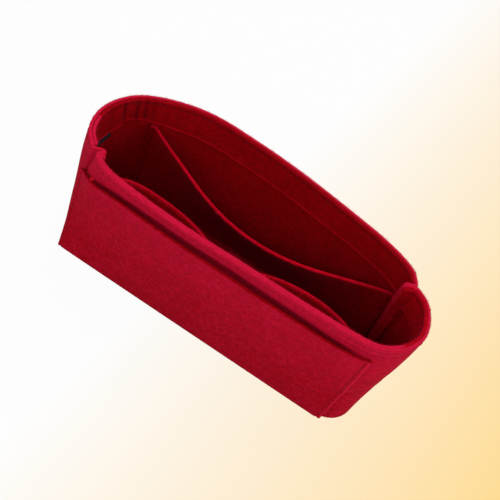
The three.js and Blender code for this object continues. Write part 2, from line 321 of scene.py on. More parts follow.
# A closed layer of felt about a grid of points, with rounded edges and what is pressed in
def makeShell(
    name, middle, felt, edges, extra=(0.0, 0.0), press=None, seed=1, grain=0.06, endHighlight=0.0
):
    middle = np.asarray(middle, float)
    rows, count = middle.shape[:2]
    middle = middle + sway(middle.reshape(-1, 3)).reshape(middle.shape)
    normals = np.cross(np.gradient(middle, axis=0), np.gradient(middle, axis=1))
    normals /= np.linalg.norm(normals, axis=2)[:, :, None]
    u, v = runAlong(middle, 1), runAlong(middle, 0)
    nearest = np.minimum.reduce((u, u[:, -1:] - u, v, v[-1:] - v))
    # a painted highlight along the end of each row, where the cut edge catches the light
    highlight = endHighlight * fade(u - u[:, -1:], *shell["highlightEnd"])
    layer = {"middle": middle, "normals": normals}
    faces, pushes = [], []
    for side, edge, more in zip((1, -1), edges, extra):
        edge = np.broadcast_to(edge, nearest.shape)
        within = np.clip(edge - nearest, 0, edge)
        reach = felt / 2 + more - edge + np.sqrt(edge**2 - within**2)
        push = np.zeros(nearest.shape) + (press(side, u, v, middle) if press else 0.0)
        pushes.append((np.clip(-push / shell["fullPress"], 0, 1) - highlight).ravel())
        layer[side] = reach + push
        faces.append(faceOf(layer, side).reshape(-1, 3))
    points = np.vstack(faces)
    shift = Vector(shell["seedSteps"]) * seed
    uneven = [noise.noise(Vector(p) / shell["grainSize"] + shift) for p in points]
    outward = np.vstack((normals.reshape(-1, 3), -normals.reshape(-1, 3)))
    points += outward * (grain * np.array(uneven))[:, None]
    index = np.arange(rows * count).reshape(rows, count)
    a, b, c, d = index[:-1, :-1], index[:-1, 1:], index[1:, 1:], index[1:, :-1]
    back = rows * count
    first = np.stack((a, b, c, d), -1).reshape(-1, 4)
    second = np.stack((a, d, c, b), -1).reshape(-1, 4) + back
    rim = np.concatenate((index[0, :-1], index[:-1, -1], index[-1, :0:-1], index[:0:-1, 0]))
    after = np.roll(rim, -1)
    strip = np.stack((rim, rim + back, after + back, after), -1)
    piece = shapedMesh(name, points, np.vstack((first, second, strip)).tolist())
    # The press mark: how far each point is pressed in, which darkens the felt as painted shade in
    # grooves, holes, creases and recesses, less the painted highlight, which pales it
    pressShade = piece.data.attributes.new("pressShade", "FLOAT", "POINT")
    pressShade.data.foreach_set("value", np.concatenate(pushes))
    return piece, layer


def faceOf(layer, side):
    return layer["middle"] + side * layer["normals"] * layer[side][:, :, None]


# The first felt goes outside and on the cut edges, and the second, a darker copy, on faces that
# look inside, as painted shade. A hem is the lowest rows and their felt, a painted highlight where
# one is given; the rim mask gives columns whose cut edge and top rows take the darker felt too, as
# painted shade, and pale gives columns of the inner face a lighter felt, as painted light.
def dress(
    piece, layer, litFelt, pressShade, inside=(1,), hem=(0, None), shadedRim=False, darkRows=6, pale=()
):
    rows, count = layer["middle"].shape[:2]
    block = (rows - 1) * (count - 1)
    row, column = np.divmod(np.arange(block), count - 1)
    shadedRim = np.broadcast_to(shadedRim, count - 1)
    low = (row < rows - 6) & (row >= hem[0])
    index = np.zeros(len(piece.data.polygons), int)
    for side, start in ((1, 0), (-1, block)):
        if side in inside:
            index[start : start + block][low] = 1
        index[start : start + block][(row >= rows - darkRows) & shadedRim[column]] = 1
    cut = 2 * block + count + rows - 2
    index[cut : cut + count - 1] = shadedRim[::-1]
    index[:block][row < hem[0]] = 2
    felts = [felt for felt in (litFelt, pressShade, hem[1]) if felt]
    for felt, columns in pale:
        index[:block][columns[column]] = len(felts)
        felts.append(felt)
    for felt in felts:
        piece.data.materials.append(felt)
    piece.data.polygons.foreach_set("material_index", index)


def finish(piece, node, slot, material=None, flat=None, on=None, **sheet):
    if material:
        piece.data.materials.append(material)
    only(piece)
    bpy.ops.object.shade_smooth()
    if node:
        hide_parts(node)
    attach(piece, "root")
    if flat:
        flat[0] * mm
        flat[1] * mm


def applyModifier(piece, kind, **settings):
    only(piece)
    bpy.ops.object.modifier_add(type=kind)
    modifier = piece.modifiers[-1]
    for name, value in settings.items():
        setattr(modifier, name, value)
    bpy.ops.object.modifier_apply(modifier=modifier.name)


# Stitches
stitch = {
    "pitch": 4.6, "length": 3.3, "width": 0.72, "height": 0.5, "sink": 0.1,
    "dip": 0.28,  # how far both ends go down into their holes
    "groove": 0.2, "grooveWidth": 0.75, "hole": 0.24,
    "deep": 0.9, "shallow": 0.45,  # how much of the groove and holes shows
    "samples": 900, "seamSamples": 300,
}


# How deep a row of stitches presses the felt, which also darkens the groove and holes as painted
# shade
def stitchPress(away, along, depth):
    holes = (0.5 + 0.5 * np.cos(2 * np.pi * along / stitch["pitch"])) ** 3
    groove = bump(away, 0, stitch["grooveWidth"])
    return -depth * groove * (stitch["groove"] + stitch["hole"] * holes)


# The same for seams that run down a pocket
def seamPress(run, lines, v, depth):
    return sum(stitchPress(run[None, :] - line, v, depth) for line in lines)


def sampleGrid(grid, rows, columns):
    low = np.clip(rows.astype(int), 0, grid.shape[0] - 2)
    left = np.clip(columns.astype(int), 0, grid.shape[1] - 2)
    a, b = (rows - low)[:, None], (columns - left)[:, None]
    return (
        grid[low, left] * (1 - a) * (1 - b) + grid[low + 1, left] * a * (1 - b)
        + grid[low, left + 1] * (1 - a) * b + grid[low + 1, left + 1] * a * b
    )


def makeStitch():
    bpy.ops.mesh.primitive_uv_sphere_add(segments=8, ring_count=7, radius=0.5 * mm)
    piece = bpy.context.object
    editTurned()
    bpy.ops.transform.resize(value=(stitch["length"], stitch["width"], stitch["height"]))
    bpy.ops.object.mode_set(mode="OBJECT")
    for vertex in piece.data.vertices:
        share = abs(vertex.co.x) / (stitch["length"] / 2 * mm)
        vertex.co.z -= stitch["dip"] * mm * share**2.5
    return piece


def sewRow(name, layer, rows, columns, side, material):
    rows, columns = np.broadcast_arrays(np.asarray(rows, float), np.asarray(columns, float))
    line = sampleGrid(faceOf(layer, side), rows, columns)
    facing = sampleGrid(layer["normals"], rows, columns) * side
    run = runOf(line)
    copies, pitch = [], stitch["pitch"]
    for at in np.arange(pitch / 2, run[-1] - pitch / 2, pitch):
        along = Vector(readLine(at + 0.8, run, line) - readLine(at - 0.8, run, line)).normalized()
        outward = Vector(readLine(at, run, facing)).normalized()
        sideways = outward.cross(along).normalized()
        turn = Matrix((along, sideways, along.cross(sideways))).transposed().to_4x4()
        place = Vector(readLine(at, run, line) + origin)
        place += outward * (stitch["height"] / 2 - stitch["sink"])
        copy = addObject(name, stitchForm.data.copy())
        copy.data.transform(Matrix.Translation(place * mm) @ turn)
        copies.append(copy)
    only(*copies)
    bpy.ops.object.join()
    piece = bpy.context.object
    piece.name = piece.data.name = name
    finish(piece, None, "outer_felt", material)


def sewSeams(seams, layer, run, side, material):
    rowsAt = np.linspace(4, len(layer["middle"]) - 5, stitch["seamSamples"])
    for name, line in seams.items():
        sewRow(name, layer, rowsAt, np.interp(line, run, np.arange(len(run))), side, material)


stitchForm = makeStitch()


# Shader nodes: n0 is a node's first input, and Base_Color the one called Base Color
def feed(tree, node, **sockets):
    for name, value in sockets.items():
        numbered = name[0] == "n" and name[1:].isdigit()
        slot = node.inputs[int(name[1:]) if numbered else name.replace("_", " ")]
        if isinstance(value, Wire):
            tree.links.new(value.socket, slot)
        else:
            slot.default_value = (*value, 1) if slot.type == "RGBA" else value


# One output socket, for shader maths that reads as arithmetic
class Wire:
    def __init__(self, tree, socket):
        self.tree, self.socket = tree, socket

    def math(self, operation, *others):
        node = self.tree.nodes.new("ShaderNodeMath")
        node.operation = operation
        feed(self.tree, node, **{f"n{k}": value for k, value in enumerate((self, *others))})
        return Wire(self.tree, node.outputs[0])

    def __add__(self, other):
        return self.math("ADD", other)

    def __mul__(self, other):
        return self.math("MULTIPLY", other)

    def __sub__(self, other):
        return self.math("SUBTRACT", other)

    def __rsub__(self, other):
        return (self * -1) + other

    __radd__ = __add__
    __rmul__ = __mul__

    def away(self, level):
        return (self - level).math("ABSOLUTE")

    def clamp(self, low=0.0, high=1.0):
        return self.math("MAXIMUM", low).math("MINIMUM", high)

    def smooth(self, low, high):
        node = self.tree.nodes.new("ShaderNodeMapRange")
        node.interpolation_type = "SMOOTHSTEP"
        feed(self.tree, node, Value=self, From_Min=low, From_Max=high)
        return Wire(self.tree, node.outputs["Result"])


# A material being mixed
class Finish:
    def __init__(self, name):
        self.material = bpy.data.materials.new(name)
        self.material.use_nodes = True
        self.tree = self.material.node_tree
        self.shader = self.tree.nodes["Principled BSDF"]

    def add(self, kind, settings=None, output=0, **sockets):
        node = self.tree.nodes.new(kind)
        for name, value in (settings or {}).items():
            setattr(node, name, value)
        feed(self.tree, node, **sockets)
        return Wire(self.tree, node.outputs[output])

    def bands(self, scale):
        here = self.add("ShaderNodeTexCoord", output=3)
        slanted = {"bands_direction": "DIAGONAL"}
        return self.add("ShaderNodeTexWave", slanted, output=1, Vector=here, Scale=scale)

    def mix(self, factor, first, second):
        colours = {"n0": factor, "n6": first, "n7": second}
        return self.add("ShaderNodeMix", {"data_type": "RGBA"}, output=2, **colours)

    def set(self, **sockets):
        feed(self.tree, self.shader, **sockets)


# Felt
# Each felt's colours mottle between deep, plain and bright, with pale strands; its top colour is
# painted light higher up and at a highlighted end, and its darkest colour painted shade where the
# felt is pressed in
crimson = {
    "outer": {
        "deep": (0.290, 0.0001, 0.0055), "plain": (0.375, 0.0001, 0.0075),
        "bright": (0.470, 0.0036, 0.0260), "top": (0.560, 0.0085, 0.0470),
        "pressShade": (0.120, 0.0001, 0.0024), "strand": (0.620, 0.0150, 0.0680),
        "strands": 0.4, "paintedTopLight": 0.4, "sheen": 0.05,
    },
    # a darker, less pink copy of the outer felt for faces that look inside: painted shade
    "shaded": {
        "deep": (0.180, 0.0001, 0.0007), "plain": (0.240, 0.0001, 0.0016),
        "bright": (0.300, 0.0005, 0.0042), "top": (0.270, 0.0004, 0.0036),
        "pressShade": (0.060, 0.0001, 0.0005), "strand": (0.390, 0.0030, 0.0130),
        "strands": 0.18, "paintedTopLight": 0.25, "sheen": 0.03,
    },
    "litEnd": {  # a lighter copy of the inside felt for the right end's inside, which catches more light: painted light
        "deep": (0.225, 0.0001, 0.0014), "plain": (0.300, 0.0002, 0.0032),
        "bright": (0.380, 0.0008, 0.0080), "top": (0.330, 0.0006, 0.0060),
        "pressShade": (0.080, 0.0001, 0.0010), "strand": (0.470, 0.0040, 0.0200),
        "strands": 0.25, "paintedTopLight": 0.25, "sheen": 0.03,
    },
    "edge": {  # a lighter, redder copy for cut edges inside, the back strip's hem and the allowances: painted highlight
        "deep": (0.330, 0.0002, 0.0050), "plain": (0.430, 0.0004, 0.0085),
        "bright": (0.520, 0.0020, 0.0180), "top": (0.500, 0.0015, 0.0150),
        "pressShade": (0.120, 0.0001, 0.0024), "strand": (0.560, 0.0060, 0.0300),
        "strands": 0.2, "paintedTopLight": 0.2, "sheen": 0.03,
    },
    "fibreScale": 1150.0, "clumpScale": 380.0, "patchScale": 60.0, "strandScale": 620.0,
    "tone": (2.6, 2.4, 0.9, 0.55),  # weights of fibres, clumps and patches, and the level
    "pale": (2.6, 3.2, 1.2, 0.1),
    # how strongly the press mark paints shade and highlight
    "pressShadeTint": 0.7,
    "sheenTint": (1.0, 0.07, 0.22),
    "bump": 0.6,
}


def makeFelt(name):
    felt, look = Finish(name + "Felt"), crimson[name]
    here = felt.add("ShaderNodeTexCoord", output=3)

    def cloud(scale, detail, rough=0.6, warp=0.0):
        settings = {"Scale": scale, "Detail": detail, "Roughness": rough, "Distortion": warp}
        return felt.add("ShaderNodeTexNoise", Vector=here, **settings)

    fibres = cloud(crimson["fibreScale"], 2, 0.6, 1.5)
    clumps = cloud(crimson["clumpScale"], 2, 0.6, 0.9)
    patches = cloud(crimson["patchScale"], 3, 0.6)
    strands = 1 - cloud(crimson["strandScale"], 1, 0.5, 2.5).away(0.5).smooth(0.0, 0.045)
    strands = strands * cloud(crimson["clumpScale"] * 0.7, 2, 0.5).smooth(0.46, 0.6)

    def mottle(fibre, clump, patch, level):
        return (fibres - 0.5) * fibre + (clumps - 0.5) * clump + (patches - 0.5) * patch + level

    colour = felt.mix(mottle(*crimson["tone"]).clamp(), look["deep"], look["plain"])
    colour = felt.mix(mottle(*crimson["pale"]).clamp(0, 0.8), colour, look["bright"])
    colour = felt.mix(strands * look["strands"], colour, look["strand"])
    height = felt.add("ShaderNodeSeparateXYZ", output=2, Vector=here)
    # Painted light: every felt turns towards its top colour higher up, most in the band under the
    # rim
    rise = height.smooth(0.02, 0.092) * 0.7 + height.smooth(0.079, 0.089) * 0.7
    colour = felt.mix(rise * look["paintedTopLight"], colour, look["top"])
    # Painted shade where the felt is pressed in, and a painted highlight where the press mark is
    # below zero
    pressShade = felt.add("ShaderNodeAttribute", {"attribute_name": "pressShade"}, output=2)
    colour = felt.mix((pressShade * crimson["pressShadeTint"]).clamp(), colour, look["pressShade"])
    colour = felt.mix((pressShade * -crimson["pressShadeTint"]).clamp(), colour, look["top"])
    relief = fibres * 0.5 + clumps * 0.9 + strands * 0.35
    felt.set(
        Base_Color=colour,
        Roughness=(0.85 + fibres * 0.2).clamp(),
        Specular_IOR_Level=0.03,
        Sheen_Weight=look["sheen"],
        Sheen_Roughness=0.45,
        Sheen_Tint=crimson["sheenTint"],
        Normal=felt.add("ShaderNodeBump", Height=relief, Strength=crimson["bump"], Distance=0.0006),
    )
    return felt.material


def makeThread(name, colour):
    thread = Finish(name)
    twist = thread.bands(1400.0)
    relief = thread.add("ShaderNodeBump", Height=twist, Strength=0.4, Distance=0.0002)
    thread.set(Base_Color=colour, Roughness=0.7, Specular_IOR_Level=0.1, Normal=relief)
    return thread.material


outerFelt, shadedFelt, litEdgeFelt, litEndFelt = map(makeFelt, ("outer", "shaded", "edge", "litEnd"))
seamThread = makeThread("seamThread", (0.33, 0.0004, 0.008))
liningThread = makeThread("liningThread", (0.12, 0.0002, 0.0016))
tackThread = makeThread("tackThread", (0.62, 0.0015, 0.018))
print("felt and thread mixed")

# The slip pocket's sizes come first, because the front wall is pressed in behind it
slip = {
    "drop": 10.0, "sag": 2.9, "sagRise": 1.6, "margin": 4.0,
    "seamInset": 0.6, "endInset": 8.6,
    "lap": 2.4,  # how far its top corner reaches past the seam
    "rows": 60, "steps": 200, "edge": 0.6, "flatHeight": 82,
    "leftSeam": 2.3, "rightSeam": 2.5, "seamPress": 1.25,
    "recess": -0.7,  # how deep the wall is pressed just behind the mouth, which also paints shade there
    "recessAbove": 0.35,
    "drops": (  # the mouth's line: share of the pocket's length, share of "drop"
        (0, 1.9), (0.04, 1.52), (0.08, 1.2), (0.125, 0.95), (0.2, 0.77), (0.3, 0.69),
        (0.41, 0.7), (0.52, 0.74), (0.63, 0.81), (0.745, 0.89), (0.83, 0.98), (0.91, 1.06),
        (1, 1.08),
    ),
}

# Walls
walls = {
    "rows": 46, "rimRows": 34, "rimZone": 13.0, "stitchDrop": 3.0, "tipRadius": 2.8,
    "folds": ((3, 0.22, 2.2), (-7, 0.18, 2.6)),  # place, depth and width of each
    "foldsFrom": (92, 52),
    "crease": (82.6, 0.3, 1.1),  # along the front band, at its right
    "endFrom": 85,  # where the right end's inside starts
}


def wallRowShares():
    edge = tub["cutEdge"]
    low = edgeSteps(0, tall, walls["rows"], edge)
    fine = np.linspace(tall - walls["rimZone"], tall - edge, walls["rimRows"])
    return np.concatenate((low[low < fine[0] - 0.5], fine, low[low > fine[-1] + 0.01])) / tall


# How far the top corners of the allowances are rounded off
def tipDrop(run, wraps):
    radius = walls["tipRadius"]
    drop = np.zeros(len(run))
    for wrap, fromTip in zip(wraps, (run, run[-1] - run)):
        if wrap is True:
            drop += radius - np.sqrt(radius**2 - np.clip(radius - fromTip, 0, radius) ** 2)
    return drop


def rowOfHeight(layer, z):
    heights = layer["middle"][:, layer["middle"].shape[1] // 2, 2]
    return float(np.interp(z, heights, np.arange(len(heights))))


# Diagonal folds beside the slip pocket, the crease in the band, and the recess at the mouth; all of
# them darken the felt as painted shade
def frontPress(x, z):
    across = (x - walls["foldsFrom"][0]) * 0.6 + (z - walls["foldsFrom"][1]) * 0.8
    folds = sum(-deep * bump(across, place, wide) for place, deep, wide in walls["folds"])
    folds = folds * fade(x, 88, 95) * fade(z, 20, 50)
    place, deep, wide = walls["crease"]
    crease = -deep * bump(z, place, wide) * fade(x, 58, 78)
    drops = np.array(slip["drops"])
    share = (x + halfBase) / (tub["baseLength"] - slip["endInset"])
    mouth = tall - slip["drop"] * np.interp(share, *drops.T) + slip["recessAbove"]
    behind = slip["recess"] * fade(z, mouth + 0.3, mouth - 0.3) * fade(z, mouth - 6, mouth - 4)
    return folds + crease + behind * fade(share, 0.05, 0.09) * fade(share, 0.96, 0.9)


def makeWall(panel, node, name, seed):
    edge, joint = tub["cutEdge"], tub["jointEdge"]
    middle = (gap + thick) / 2
    rim = layerLine(panel, tall, middle, (True, True), tub["wallSteps"])[0]
    top = tall - tipDrop(runOf(rim), (True, True))
    grid, first, last = layerGrid(panel, middle, 0.0, top, wallRowShares())
    count = grid.shape[1]
    column = np.arange(count)
    startTab = 1 - fade(column, first - 6, first - 2)
    tab = np.maximum(startTab, fade(column, count - last + 1, count - last + 5))[None, :]
    high = fade(grid[:, :, 2], tub["facingBottom"] - 1, tub["facingBottom"] + 3)
    edges = (joint + (edge - joint) * tab, edge + (joint - edge) * tab)
    extra = (tub["jointPress"] * high * (1 - tab), tub["jointPress"] * tab + 0 * high)
    line = tall - walls["stitchDrop"]

    def press(side, u, v, points):
        if side > 0:
            return 0.0
        x, z = points[:, :, 0], points[:, :, 2]
        if panel == "front":
            return frontPress(x, z) + stitchPress(z - line, u, stitch["shallow"]) * (1 - tab)
        return stitchPress(z - line, u, stitch["deep"]) * (1 - tab)

    piece, layer = makeShell(name, grid, thick, edges, extra, press, seed)
    # Painted light: the front wall's right end inside takes a lighter felt, and the allowances a
    # lighter edge felt as a painted highlight; the fold beside them keeps the darker felt as
    # painted shade
    atEnd = (grid[-1, :-1, 0] > walls["endFrom"]) & (column[:-1] < count - last - 4)
    ridge = column[:-1] > count - last + tub["foldSteps"] - 2
    ridge |= column[:-1] < first - tub["foldSteps"]
    pale = ((litEndFelt, atEnd & (panel == "front")), (litEdgeFelt, ridge))
    dress(piece, layer, outerFelt, shadedFelt, pale=pale)
    flat = (lineLength(grid[len(grid) // 2]), tall)
    finish(piece, node, "outer_felt", flat=flat, on="base_panel", held="stretched")
    at = np.linspace(first + 2, count - last - 3, stitch["samples"])
    sewRow(name + "Stitches", layer, rowOfHeight(layer, line), at, -1, seamThread)
    return layer


layers = {
    "frontWall": makeWall("front", "front_wall", "frontWallFelt", 1),
    "backWall": makeWall("back", "back_wall", "backWallFelt", 2),
}
print("walls sewn")

# Facing strips inside the rim
facings = {
    "rows": 36, "steps": 400, "edge": 0.8, "shareEdge": 0.04, "stitchDrop": 3.2,
    "backStops": (3.4, 2.2),  # how far from the right and left seam the back strip ends
    # The back strip's hem from the front left seam: it overlaps itself at the step
    "backHem": (
        (0, 65.4), (27, 65.0), (35, 65.4), (41, 67.5), (45.6, 69.4), (46.6, 72.0), (54, 71.9),
        (61, 70.9), (70, 69.9), (80, 69.3), (100, 69.5), (400, 69.5),
    ),
    "hemRidge": (0.9, 0.35, 0.6),  # its place above the hem, height and width
    "hemRows": 5,
    "overlapEnd": 42, "overlapSlant": 0.2, "overlapRaise": 0.9,
    "endRim": 196.0,  # beyond this distance from the left seam the front strip's edge is darker, as painted shade
    "paleRim": 24.0,  # and the back strip's beyond this one
    "creases": (  # place, depth and width of each
        (45.6, 0.9, 0.5), (53.5, 0.75, 1.2), (58.7, 0.6, 1.2), (63.0, 0.4, 1.4), (36.0, 0.3, 2.0),
    ),
    "creaseSlant": 0.12,
}


# The end of the back strip lies over its beginning
def raiseOverlap(grid, fromSeam):
    z = grid[:, :, 2]
    lap = facings["overlapEnd"] + (89 - z) * facings["overlapSlant"]
    raised = fade(lap - fromSeam[None, :], -0.5, 0.7) * (1 - 0.75 * fade(z, 82, 88.5))
    along = np.gradient(grid, axis=1)
    inward = np.dstack((-along[:, :, 1], along[:, :, 0]))
    inward /= np.linalg.norm(inward, axis=2)[:, :, None]
    grid[:, :, :2] += inward * (facings["overlapRaise"] * raised)[:, :, None]


def makeFacing(panel, node, name, seed, wraps):
    bottom, steps = tub["facingBottom"], facings["steps"]
    middle = gap * 1.5 + thick * 1.5
    run = runOf(layerLine(panel, bottom, middle, wraps, steps)[0])
    fromSeam = run[-1] - run + facings["backStops"][1]
    hem = bottom
    if panel == "back":
        hem = np.interp(fromSeam, *np.array(facings["backHem"]).T)
    shares = edgeSteps(0, 1, facings["rows"], facings["shareEdge"])
    top = tall - tipDrop(run, wraps)
    grid = layerGrid(panel, middle, hem, top, shares, wraps, steps)[0]
    if panel == "back":
        raiseOverlap(grid, fromSeam)
    line = tall - facings["stitchDrop"]

    def press(side, u, v, points):
        if side < 0:
            return 0.0
        z = points[:, :, 2]
        depth = stitchPress(z - line, u, stitch["deep"])
        if panel == "back":
            place, rise, wide = facings["hemRidge"]
            depth = depth + rise * bump(v, place, wide)
            for place, deep, wide in facings["creases"]:
                slant = fromSeam[None, :] - place - (80 - z) * facings["creaseSlant"]
                depth = depth - deep * bump(slant, 0, wide) * (1 - 0.5 * fade(z, 84, 89))
        return depth

    edges, extra = (facings["edge"], tub["jointEdge"]), (0.0, tub["jointPress"])
    piece, layer = makeShell(name, grid, thick, edges, extra, press, seed)
    # The back strip's hem is a painted highlight, and its rim past the pale stretch takes the
    # darker felt as painted shade. The front strip's inside takes a lighter felt as painted light,
    # and its rim near the right end takes that felt too, darker than the outside, as painted shade.
    if panel == "back":
        hemFelt, shadedColumns = (facings["hemRows"], litEdgeFelt), fromSeam[:-1] > facings["paleRim"]
        dress(piece, layer, outerFelt, shadedFelt, (1, -1), hemFelt, shadedColumns)
    else:
        shadedColumns = run[:-1] > facings["endRim"]
        dress(piece, layer, outerFelt, litEndFelt, (1, -1), shadedRim=shadedColumns)
    flat = (run[-1], tall - bottom)
    finish(piece, node, "lining_felt", flat=flat, on=panel + "_wall", held="stretched")
    at = np.linspace(10, len(run) - 11, stitch["samples"])
    sewRow(name + "Stitches", layer, rowOfHeight(layer, line), at, 1, liningThread)
    return layer


layers["frontFacing"] = makeFacing("front", "front_rim_facing", "frontFacingFelt", 3, (True, True))
layers["backFacing"] = makeFacing(
    "back", "back_rim_facing", "backFacingFelt", 4, facings["backStops"]
)
print("facings sewn")

# Inner pockets
pockets = {
    "top": 68.0,
    "start": 7.5,  # the height from which they stand away from the wall
    "rows": 54, "edge": 0.55, "seamInset": 8.0, "endInset": 10.6, "margin": 3.0,
    "ridgeReach": 3.0,  # how much nearer the back pocket comes to the ridge
    "ridgeDrop": 2.0,  # and how far its edge has sunk there
    "backFullness": 42.0, "frontFullness": 23.4,
    "rise": 1.2, "skew": 0.92, "roundness": 0.94,
    "seamIn": 2.0, "edgeLine": 2.4,
    # Start, peak and end of each front compartment, and how round it is to either side
    "compartments": ((0.02, 0.205, 0.4625, 2.5, 2.0), (0.5, 0.769, 0.976, 2.0, 2.0)),
}


# How far back a wall's line lies at each x, carried on straight past its corner
def wallDepth(panel, z, distance, x):
    line = offsetLine(wallLine(panel, z, np.linspace(0, 1, 801)), distance)
    steady = np.diff(line[:, 0]) * (-1 if panel == "back" else 1)
    stop = np.argmax(steady <= 0) if (steady <= 0).any() else len(line) - 1
    line = line[: max(stop, 2)]
    line = line[np.argsort(line[:, 0])]
    depth = np.interp(x, line[:, 0], line[:, 1])
    slope = (line[12, 1] - line[0, 1]) / (line[12, 0] - line[0, 0])
    return np.where(x < line[0, 0], line[0, 1] + slope * (x - line[0, 0]), depth)


def seamX(panel, z):
    return wallLine(panel, z, [0.0])[0, 0]


def pocketLine(panel, z, left, right, shares, bulge, half):
    x = left + (right - left) * shares
    y = wallDepth(panel, z, onWall, x) + bulge
    return offsetLine(np.column_stack((x, y)), half)


def backPocketRow(rise, z, shares):
    left = -halfBase + pockets["endInset"]
    right = seamX("back", z) - pockets["seamInset"] + pockets["ridgeReach"] * fade(z, 30, 64)
    margin = pockets["margin"] / (right - left)
    across = np.clip((shares - margin) / (1 - 2 * margin), 0, 1) ** pockets["skew"]
    bulge = -pockets["backFullness"] * np.abs(np.sin(np.pi * across)) ** pockets["roundness"]
    bulge = bulge * rise ** pockets["rise"]
    return pocketLine("back", z, left, right, shares, bulge, -thick / 2)


def frontPocketRow(rise, z, shares):
    bulge = np.zeros_like(shares)
    for start, peak, end, startPower, endPower in pockets["compartments"]:
        for edge, power in ((start, startPower), (end, endPower)):
            across = (shares - peak) / (edge - peak)
            inside = (across >= 0) & (across < 1)
            bulge[inside] = (1 - across[inside] ** power) ** (1 / power)
    left = seamX("front", z) + pockets["seamInset"]
    right = halfBase - pockets["endInset"]
    bulge = pockets["frontFullness"] * bulge * rise ** pockets["rise"]
    return pocketLine("front", z, left, right, shares, bulge, thick / 2)


def makeInnerPocket(rowAt, node, name, seed, count, seamsAt):
    atBack, top, low = rowAt is backPocketRow, pockets["top"], pockets["start"]
    dense = np.linspace(0, 1, 3001)
    run = runOf(rowAt(1.0, top, dense))
    shares = np.interp(edgeSteps(0, run[-1], count, pockets["edge"]), run, dense)
    rows = []
    for z in edgeSteps(0, top, pockets["rows"], pockets["edge"]):
        rise = max(z - low, 0) / (top - low)
        drop = pockets["ridgeDrop"] * shares**4 * rise if atBack else 0
        rows.append(lift(rowAt(rise, z, shares), z - drop))
    grid = np.array(rows)
    run = runOf(grid[-1])
    inner = [run[np.argmin(abs(shares - share))] for share in seamsAt]
    lines = [pockets["seamIn"], *inner, run[-1] - pockets["seamIn"]]
    seams = {f"{name}Seam{number + 1}": line for number, line in enumerate(lines)}
    edgeLine, half = top - pockets["edgeLine"], run[-1] / 2
    plain = 1 - fade(abs(run[None, :] - half), half - 6, half - 3)

    def press(side, u, v, points):
        along = stitchPress(points[:, :, 2] - edgeLine, u, stitch["shallow"]) * plain
        return seamPress(run, lines, v, stitch["deep"]) + along

    piece, layer = makeShell(name, grid, thick, (pockets["edge"],) * 2, press=press, seed=seed)
    # The pockets' top rows and cut edges take the lighter edge felt as a painted highlight, and
    # both faces below them take the darker felt as painted shade
    dress(piece, layer, litEdgeFelt, shadedFelt, (1, -1))
    flat = (run[-1], top)
    finish(piece, node, "lining_felt", flat=flat, on="base_panel", held="gathered")
    sewSeams(seams, layer, run, -1 if atBack else 1, liningThread)
    return layer


layers["backPocket"] = makeInnerPocket(
    backPocketRow, "back_inner_pocket", "backPocketFelt", 5, 200, ()
)
layers["frontPocket"] = makeInnerPocket(
    frontPocketRow, "front_inner_pocket", "frontPocketFelt", 6, 260, (0.481,)
)
print("inner pockets sewn")


# Slip pocket on the front; the wall's depth comes from a table of levels
def depthOnFront(heights, x):
    steps = 45
    distance = -(gap + thick) / 2
    levels = np.linspace(0, tall, steps + 1)
    table = np.array([wallDepth("front", z, distance, x) for z in levels])
    at = np.clip(heights / tall * steps, 0, steps)
    low = np.minimum(at.astype(int), steps - 1)
    share = at - low
    index = np.arange(len(x))
    return table[low, index] * (1 - share) + table[low + 1, index] * share


def makeSlipPocket():
    width = tub["baseLength"] - slip["seamInset"] - slip["endInset"]
    shares = edgeSteps(0, 1, slip["steps"], slip["edge"] / width)
    tops = tall - slip["drop"] * np.interp(shares, *smoothCurve(slip["drops"]).T)
    margin = slip["margin"] / width
    across = np.clip((shares - margin) / (1 - 2 * margin), 0, 1)
    sag = -slip["sag"] * np.sqrt(np.abs(np.sin(np.pi * across)))
    right = halfBase - slip["endInset"]
    rows = []
    for share in edgeSteps(0, 1, slip["rows"], slip["edge"] / tall):
        z = tops * share
        rise = np.clip((z - pockets["start"]) / (tops - pockets["start"]), 0, 1)
        seam = np.array([seamX("front", height) for height in z])
        left = seam + slip["seamInset"] - slip["lap"] * z / tops
        x = left + (right - left) * shares
        rows.append(np.column_stack((x, depthOnFront(z, x) + sag * rise ** slip["sagRise"], z)))
    grid = np.array(rows)
    run = runOf(grid[-1])
    seams = {
        "slipPocketLeftStitches": slip["leftSeam"],
        "slipPocketRightStitches": run[-1] - slip["rightSeam"],
    }

    def press(side, u, v, points):
        return seamPress(run, seams.values(), v, slip["seamPress"]) if side < 0 else 0.0

    edges = (slip["edge"],) * 2
    piece, layer = makeShell("slipPocketFelt", grid, thick, edges, press=press, seed=7, endHighlight=1.0)
    # Painted shade: the darker felt inside the pocket and on its mouth's top rows and cut edge,
    # which lie in the wall's shadow
    dress(piece, layer, outerFelt, shadedFelt, shadedRim=True, darkRows=4)
    flat = (run[-1], slip["flatHeight"])
    finish(piece, "outer_pocket", "outer_felt", flat=flat, on="front_wall", held="stretched")
    sewSeams(seams, layer, run, -1, seamThread)
    return layer


layers["slip"] = makeSlipPocket()
bpy.data.objects.remove(stitchForm)

# The bar tack that closes the left end of the slip pocket's mouth
tack = {"x": -89.4, "length": 3.0, "radius": 1.05, "bevel": 0.35, "inward": 1.3, "raise": 0.7}


